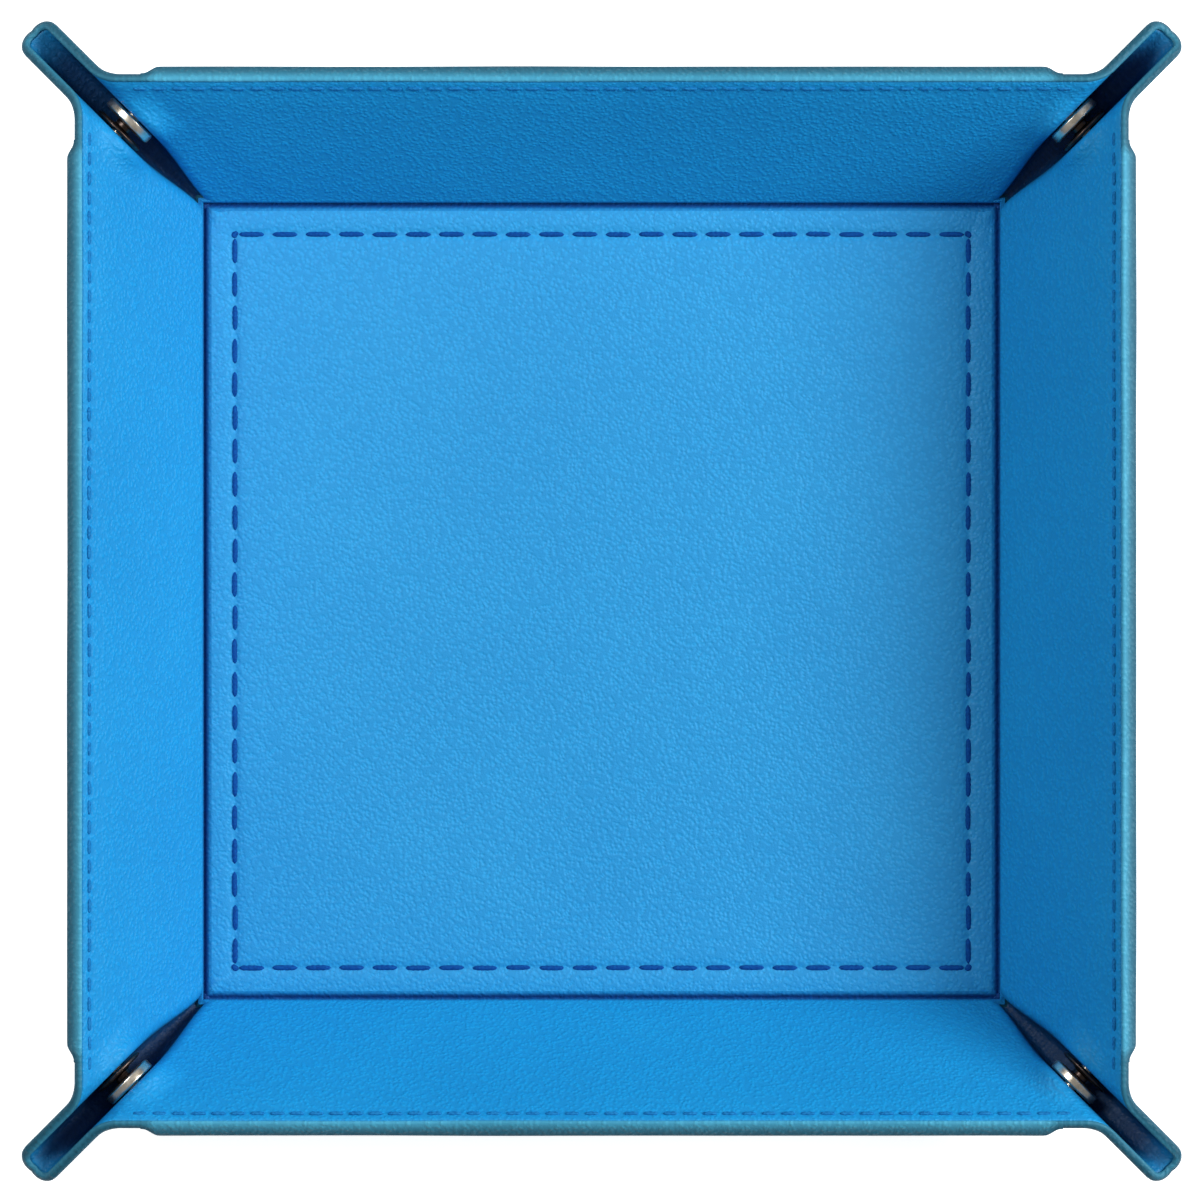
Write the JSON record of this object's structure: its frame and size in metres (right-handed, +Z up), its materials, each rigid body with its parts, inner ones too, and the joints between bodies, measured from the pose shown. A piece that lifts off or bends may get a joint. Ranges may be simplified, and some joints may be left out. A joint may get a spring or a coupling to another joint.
{
  "type": "folding dice tray",
  "caption": "Square leather tray for rolling dice: stiffened walls fold up and snap fasteners pinch each corner into an ear; unsnapped, it lies flat.",
  "frame": {"origin": "centre of the underside of the floor, on the surface that the tray stands on", "axes": "+Z up through the open top, +X and +Y square to the walls, +Y toward the north wall"},
  "size_m": [0.2124, 0.2124, 0.0329],
  "materials": {
    "lining_leather": "semi-matte, fine pebble grain, sky blue",
    "outer_leather": "semi-matte, fine grain, teal blue",
    "board": "grey board",
    "thread": "twisted polyester thread, navy on the floor and blue on the rim",
    "snap_plate": "polished nickel plate",
    "snap_dark": "nickel plate, darkened in its recesses"
  },
  "bodies": {
    "floor": {"floor_outer": "outer_leather", "floor_board": "board", "floor_lining": "lining_leather", "floor_thread": "thread"},
    "wall_north": {"wall_north_cover": "outer_leather", "wall_north_board": "board", "wall_north_lining": "lining_leather", "wall_north_thread": "thread"},
    "wall_east": {"wall_east_cover": "outer_leather", "wall_east_board": "board", "wall_east_lining": "lining_leather", "wall_east_thread": "thread"},
    "wall_south": {"wall_south_cover": "outer_leather", "wall_south_board": "board", "wall_south_lining": "lining_leather", "wall_south_thread": "thread"},
    "wall_west": {"wall_west_cover": "outer_leather", "wall_west_board": "board", "wall_west_lining": "lining_leather", "wall_west_thread": "thread"},
    "ear_ne_north": {"ear_ne_north": "lining_leather", "snap_cap_ne": "snap_plate", "snap_socket_ne": "snap_plate"},
    "spine_ne_north": {"spine_ne_north": "outer_leather"},
    "ear_ne_east": {"ear_ne_east": "lining_leather", "snap_post_ne": "snap_plate", "snap_stud_ne": "snap_dark"},
    "spine_ne_east": {"spine_ne_east": "outer_leather"},
    "ear_se_east": {"ear_se_east": "lining_leather", "snap_post_se": "snap_plate", "snap_stud_se": "snap_dark"},
    "spine_se_east": {"spine_se_east": "outer_leather"},
    "ear_se_south": {"ear_se_south": "lining_leather", "snap_cap_se": "snap_plate", "snap_socket_se": "snap_plate"},
    "spine_se_south": {"spine_se_south": "outer_leather"},
    "ear_sw_south": {"ear_sw_south": "lining_leather", "snap_cap_sw": "snap_plate", "snap_socket_sw": "snap_plate"},
    "spine_sw_south": {"spine_sw_south": "outer_leather"},
    "ear_sw_west": {"ear_sw_west": "lining_leather", "snap_post_sw": "snap_plate", "snap_stud_sw": "snap_dark"},
    "spine_sw_west": {"spine_sw_west": "outer_leather"},
    "ear_nw_west": {"ear_nw_west": "lining_leather", "snap_post_nw": "snap_plate", "snap_stud_nw": "snap_dark"},
    "spine_nw_west": {"spine_nw_west": "outer_leather"},
    "ear_nw_north": {"ear_nw_north": "lining_leather", "snap_cap_nw": "snap_plate", "snap_socket_nw": "snap_plate"},
    "spine_nw_north": {"spine_nw_north": "outer_leather"}
  },
  "joints": [
    {"name": "wall_north_fold", "type": "hinge", "parent": "floor", "child": "wall_north", "pos_m": [0, 0.075, 0.0035], "axis": [-1, 0, 0], "range_deg": [0, 57]},
    {"name": "wall_east_fold", "type": "hinge", "parent": "floor", "child": "wall_east", "pos_m": [0.075, 0, 0.0035], "axis": [0, 1, 0], "range_deg": [0, 57]},
    {"name": "wall_south_fold", "type": "hinge", "parent": "floor", "child": "wall_south", "pos_m": [0, -0.075, 0.0035], "axis": [1, 0, 0], "range_deg": [0, 57]},
    {"name": "wall_west_fold", "type": "hinge", "parent": "floor", "child": "wall_west", "pos_m": [-0.075, 0, 0.0035], "axis": [0, -1, 0], "range_deg": [0, 57]},
    {"name": "ear_ne_north_fold", "type": "hinge", "parent": "wall_north", "child": "ear_ne_north", "pos_m": [0.08346, 0.08911, 0.02211], "axis": [-0.4783, -0.4783, -0.7365], "range_deg": [0, 53.63]},
    {"name": "spine_ne_north_fold", "type": "hinge", "parent": "ear_ne_north", "child": "spine_ne_north", "pos_m": [0.07543, 0.07868, 0.00471], "axis": [0.606, 0.606, 0.5152], "range_deg": [0, 90]},
    {"name": "ear_ne_east_fold", "type": "hinge", "parent": "wall_east", "child": "ear_ne_east", "pos_m": [0.08911, 0.08346, 0.02211], "axis": [0.4783, 0.4783, 0.7365], "range_deg": [0, 53.63]},
    {"name": "spine_ne_east_fold", "type": "hinge", "parent": "ear_ne_east", "child": "spine_ne_east", "pos_m": [0.07868, 0.07543, 0.00471], "axis": [-0.606, -0.606, -0.5152], "range_deg": [0, 90]},
    {"name": "ear_se_east_fold", "type": "hinge", "parent": "wall_east", "child": "ear_se_east", "pos_m": [0.08911, -0.08346, 0.02211], "axis": [-0.4783, 0.4783, -0.7365], "range_deg": [0, 53.63]},
    {"name": "spine_se_east_fold", "type": "hinge", "parent": "ear_se_east", "child": "spine_se_east", "pos_m": [0.07868, -0.07543, 0.00471], "axis": [0.606, -0.606, 0.5152], "range_deg": [0, 90]},
    {"name": "ear_se_south_fold", "type": "hinge", "parent": "wall_south", "child": "ear_se_south", "pos_m": [0.08346, -0.08911, 0.02211], "axis": [0.4783, -0.4783, 0.7365], "range_deg": [0, 53.63]},
    {"name": "spine_se_south_fold", "type": "hinge", "parent": "ear_se_south", "child": "spine_se_south", "pos_m": [0.07543, -0.07868, 0.00471], "axis": [-0.606, 0.606, -0.5152], "range_deg": [0, 90]},
    {"name": "ear_sw_south_fold", "type": "hinge", "parent": "wall_south", "child": "ear_sw_south", "pos_m": [-0.08346, -0.08911, 0.02211], "axis": [0.4783, 0.4783, -0.7365], "range_deg": [0, 53.63]},
    {"name": "spine_sw_south_fold", "type": "hinge", "parent": "ear_sw_south", "child": "spine_sw_south", "pos_m": [-0.07543, -0.07868, 0.00471], "axis": [-0.606, -0.606, 0.5152], "range_deg": [0, 90]},
    {"name": "ear_sw_west_fold", "type": "hinge", "parent": "wall_west", "child": "ear_sw_west", "pos_m": [-0.08911, -0.08346, 0.02211], "axis": [-0.4783, -0.4783, 0.7365], "range_deg": [0, 53.63]},
    {"name": "spine_sw_west_fold", "type": "hinge", "parent": "ear_sw_west", "child": "spine_sw_west", "pos_m": [-0.07868, -0.07543, 0.00471], "axis": [0.606, 0.606, -0.5152], "range_deg": [0, 90]},
    {"name": "ear_nw_west_fold", "type": "hinge", "parent": "wall_west", "child": "ear_nw_west", "pos_m": [-0.08911, 0.08346, 0.02211], "axis": [0.4783, -0.4783, -0.7365], "range_deg": [0, 53.63]},
    {"name": "spine_nw_west_fold", "type": "hinge", "parent": "ear_nw_west", "child": "spine_nw_west", "pos_m": [-0.07868, 0.07543, 0.00471], "axis": [-0.606, 0.606, 0.5152], "range_deg": [0, 90]},
    {"name": "ear_nw_north_fold", "type": "hinge", "parent": "wall_north", "child": "ear_nw_north", "pos_m": [-0.08346, 0.08911, 0.02211], "axis": [-0.4783, 0.4783, 0.7365], "range_deg": [0, 53.63]},
    {"name": "spine_nw_north_fold", "type": "hinge", "parent": "ear_nw_north", "child": "spine_nw_north", "pos_m": [-0.07543, 0.07868, 0.00471], "axis": [0.606, -0.606, -0.5152], "range_deg": [0, 90]}
  ],
  "couplings": [
    {"joint": "wall_east_fold", "follows": "wall_north_fold", "ratio": 1},
    {"joint": "wall_south_fold", "follows": "wall_north_fold", "ratio": 1},
    {"joint": "wall_west_fold", "follows": "wall_north_fold", "ratio": 1},
    {"joint": "ear_ne_north_fold", "follows": "wall_north_fold", "ratio": 0.9408},
    {"joint": "spine_ne_north_fold", "follows": "wall_north_fold", "ratio": 1.5789},
    {"joint": "ear_ne_east_fold", "follows": "wall_north_fold", "ratio": 0.9408},
    {"joint": "spine_ne_east_fold", "follows": "wall_north_fold", "ratio": 1.5789},
    {"joint": "ear_se_east_fold", "follows": "wall_north_fold", "ratio": 0.9408},
    {"joint": "spine_se_east_fold", "follows": "wall_north_fold", "ratio": 1.5789},
    {"joint": "ear_se_south_fold", "follows": "wall_north_fold", "ratio": 0.9408},
    {"joint": "spine_se_south_fold", "follows": "wall_north_fold", "ratio": 1.5789},
    {"joint": "ear_sw_south_fold", "follows": "wall_north_fold", "ratio": 0.9408},
    {"joint": "spine_sw_south_fold", "follows": "wall_north_fold", "ratio": 1.5789},
    {"joint": "ear_sw_west_fold", "follows": "wall_north_fold", "ratio": 0.9408},
    {"joint": "spine_sw_west_fold", "follows": "wall_north_fold", "ratio": 1.5789},
    {"joint": "ear_nw_west_fold", "follows": "wall_north_fold", "ratio": 0.9408},
    {"joint": "spine_nw_west_fold", "follows": "wall_north_fold", "ratio": 1.5789},
    {"joint": "ear_nw_north_fold", "follows": "wall_north_fold", "ratio": 0.9408},
    {"joint": "spine_nw_north_fold", "follows": "wall_north_fold", "ratio": 1.5789}
  ]
}
